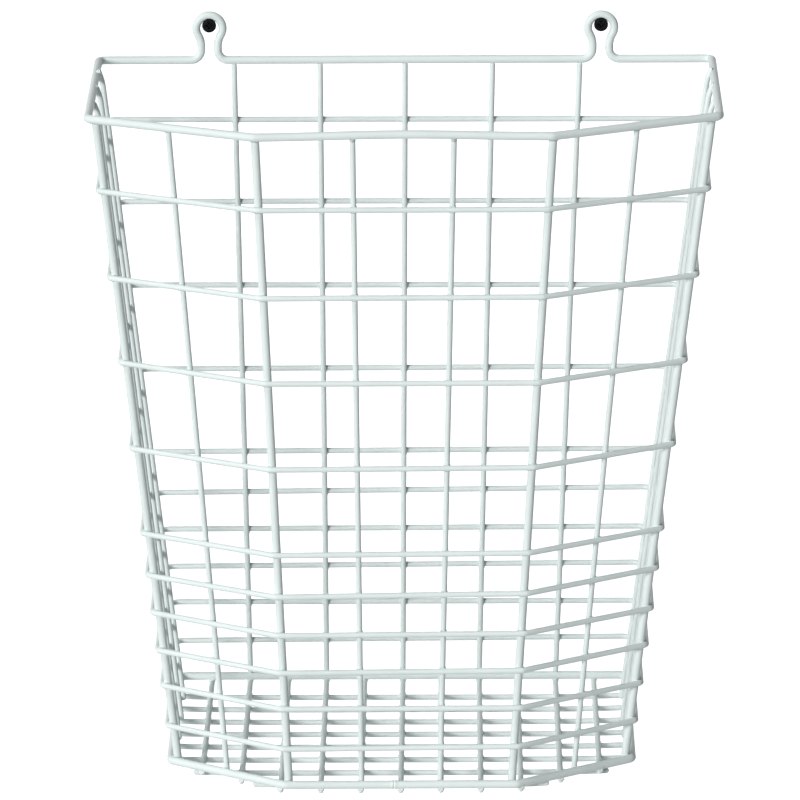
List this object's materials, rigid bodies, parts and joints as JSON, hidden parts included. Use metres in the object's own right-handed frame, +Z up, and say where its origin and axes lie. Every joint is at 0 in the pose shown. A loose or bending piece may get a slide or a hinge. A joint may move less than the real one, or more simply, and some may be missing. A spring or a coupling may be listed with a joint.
{
  "type": "wall-hung wire waste basket",
  "caption": "Tapered six-sided waste basket of white coated steel wire, open at the top, hanging by two keyhole loops on two wall screws.",
  "frame": {"origin": "on the wall, midway between the axes of the two wall screws", "axes": "+Z up, +X to the right seen from the room, +Y into the wall; the basket stands out towards -Y"},
  "size_m": [0.3974, 0.2651, 0.4552],
  "materials": {
    "rim_coating": "satin epoxy coating, pale grey white",
    "ring_coating": "satin epoxy coating, pale grey white",
    "post_coating": "satin epoxy coating, pale grey white",
    "upright_coating": "satin epoxy coating, pale grey white",
    "floor_coating": "satin epoxy coating, pale grey white",
    "black_screw": "black phosphate"
  },
  "bodies": {
    "wall_screws": {"wall_screw_left": "black_screw", "wall_screw_right": "black_screw"},
    "basket": {"top_rim": "rim_coating", "bottom_rim": "rim_coating", "ring_01": "ring_coating", "ring_02": "ring_coating", "ring_03": "ring_coating", "ring_04": "ring_coating", "ring_05": "ring_coating", "ring_06": "ring_coating", "ring_07": "ring_coating", "ring_08": "ring_coating", "ring_09": "ring_coating", "ring_10": "ring_coating", "side_post_left": "post_coating", "side_post_right": "post_coating", "front_post_left": "post_coating", "front_post_right": "post_coating", "back_upright_1": "upright_coating", "back_upright_2": "upright_coating", "back_upright_3": "upright_coating", "back_upright_4": "upright_coating", "back_upright_5": "upright_coating", "side_upright_left_1": "upright_coating", "side_upright_left_2": "upright_coating", "side_upright_left_3": "upright_coating", "side_upright_right_1": "upright_coating", "side_upright_right_2": "upright_coating", "side_upright_right_3": "upright_coating", "diagonal_upright_left": "upright_coating", "diagonal_upright_right": "upright_coating", "front_upright_left": "upright_coating", "front_upright_right": "upright_coating", "floor_runner_01": "floor_coating", "floor_runner_02": "floor_coating", "floor_runner_03": "floor_coating", "floor_runner_04": "floor_coating", "floor_runner_05": "floor_coating", "floor_runner_06": "floor_coating", "floor_runner_07": "floor_coating", "floor_runner_08": "floor_coating", "floor_runner_09": "floor_coating", "floor_runner_10": "floor_coating", "floor_runner_11": "floor_coating", "floor_cross_1": "floor_coating", "floor_cross_2": "floor_coating", "floor_cross_3": "floor_coating", "floor_cross_4": "floor_coating", "floor_cross_5": "floor_coating", "floor_cross_6": "floor_coating", "floor_cross_7": "floor_coating", "floor_cross_8": "floor_coating"}
  },
  "joints": [
    {"name": "lift_off", "type": "slide", "parent": "wall_screws", "child": "basket", "axis": [0, -0.8192, 0.5736], "range_m": [0, 0.08]}
  ]
}
